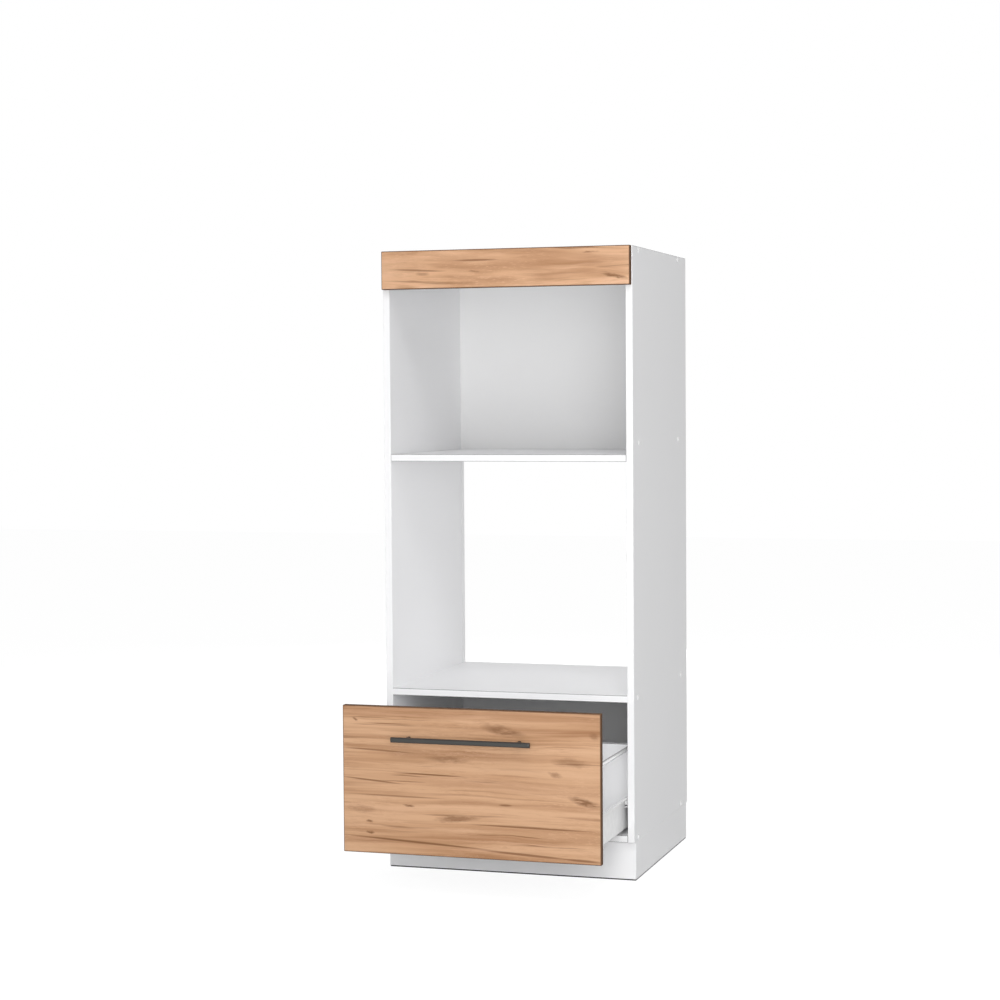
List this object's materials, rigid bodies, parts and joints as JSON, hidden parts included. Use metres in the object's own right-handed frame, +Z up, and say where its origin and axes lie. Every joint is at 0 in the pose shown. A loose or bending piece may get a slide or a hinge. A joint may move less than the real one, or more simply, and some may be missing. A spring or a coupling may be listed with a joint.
{
  "type": "tall kitchen cabinet for microwave and oven",
  "caption": "Tall open kitchen cabinet on a plinth, with a microwave bay over an open-backed oven niche and a deep roller-runner drawer with a bar handle.",
  "frame": {"origin": "On the floor, in the middle of the carcass's footprint: the bottom face of the glide strip under the plinth's stiffener", "axes": "+X to the right as seen from the front, +Y to the back, +Z up; the drawer opens towards -Y"},
  "size_m": [0.6016, 0.868, 1.45],
  "materials": {
    "white_board": "satin white melamine on chipboard",
    "decor_board": "satin oak decor on chipboard",
    "backing": "painted hardboard",
    "zinc_steel": "zinc plated",
    "coated_steel": "white powder coat",
    "anthracite": "satin anthracite lacquer",
    "white_plastic": "moulded",
    "beech": "raw beech, ribbed when real",
    "glide_plastic": "moulded"
  },
  "bodies": {
    "carcass": {"side_left": "white_board", "side_right": "white_board", "top_panel": "white_board", "upper_shelf": "white_board", "lower_shelf": "white_board", "bottom_panel": "white_board", "upper_back": "backing", "lower_back": "backing", "fascia": "decor_board", "plinth_front": "white_board", "plinth_rear": "white_board", "plinth_side_left": "white_board", "plinth_side_right": "white_board", "plinth_stiffener": "white_board", "plinth_glides": "glide_plastic", "plinth_dowels": "beech", "plinth_brackets": "zinc_steel", "plinth_bracket_screws": "zinc_steel", "carcass_screws": "zinc_steel", "screw_caps": "white_plastic", "spare_hole_plugs": "white_plastic", "shelf_cams": "zinc_steel", "shelf_cam_bolts": "zinc_steel", "shelf_dowels": "beech", "fascia_brackets": "zinc_steel", "fascia_bracket_screws": "zinc_steel", "back_panel_screws": "zinc_steel", "runner_left": "coated_steel", "runner_right": "coated_steel", "runner_screws": "zinc_steel"},
    "drawer": {"drawer_front": "decor_board", "handle_bar": "anthracite", "handle_posts": "anthracite", "handle_screws": "zinc_steel", "drawer_side_left": "coated_steel", "drawer_side_right": "coated_steel", "drawer_base": "white_board", "drawer_back": "white_board", "railing_rods": "coated_steel", "railing_front_sockets": "white_plastic", "railing_rear_sockets": "white_plastic", "railing_socket_screws": "zinc_steel", "drawer_front_brackets": "zinc_steel", "drawer_back_brackets": "zinc_steel", "drawer_bracket_screws": "zinc_steel", "drawer_side_rivets": "zinc_steel", "drawer_base_screws": "zinc_steel", "drawer_back_screws": "zinc_steel"},
    "front_roller_left": {"front_roller_left": "white_plastic"},
    "front_roller_right": {"front_roller_right": "white_plastic"},
    "rear_roller_left": {"rear_roller_left": "white_plastic"},
    "rear_roller_right": {"rear_roller_right": "white_plastic"}
  },
  "joints": [
    {"name": "drawer_slide", "type": "slide", "parent": "carcass", "child": "drawer", "axis": [0, -1, 0], "range_m": [-0.272, 0.022]},
    {"name": "front_roller_left_spin", "type": "hinge", "parent": "carcass", "child": "front_roller_left", "pos_m": [-0.278, -0.2595, 0.182], "axis": [1, 0, 0], "range_deg": [-2090, 180]},
    {"name": "rear_roller_left_spin", "type": "hinge", "parent": "drawer", "child": "rear_roller_left", "pos_m": [-0.278, -0.157, 0.1795], "axis": [1, 0, 0], "range_deg": [-2090, 180]},
    {"name": "front_roller_right_spin", "type": "hinge", "parent": "carcass", "child": "front_roller_right", "pos_m": [0.278, -0.2595, 0.182], "axis": [1, 0, 0], "range_deg": [-2090, 180]},
    {"name": "rear_roller_right_spin", "type": "hinge", "parent": "drawer", "child": "rear_roller_right", "pos_m": [0.278, -0.157, 0.1795], "axis": [1, 0, 0], "range_deg": [-2090, 180]}
  ],
  "couplings": [
    {"joint": "front_roller_left_spin", "follows": "drawer_slide", "rad_per_m": 133.33},
    {"joint": "rear_roller_left_spin", "follows": "drawer_slide", "rad_per_m": 133.33},
    {"joint": "front_roller_right_spin", "follows": "drawer_slide", "rad_per_m": 133.33},
    {"joint": "rear_roller_right_spin", "follows": "drawer_slide", "rad_per_m": 133.33}
  ]
}
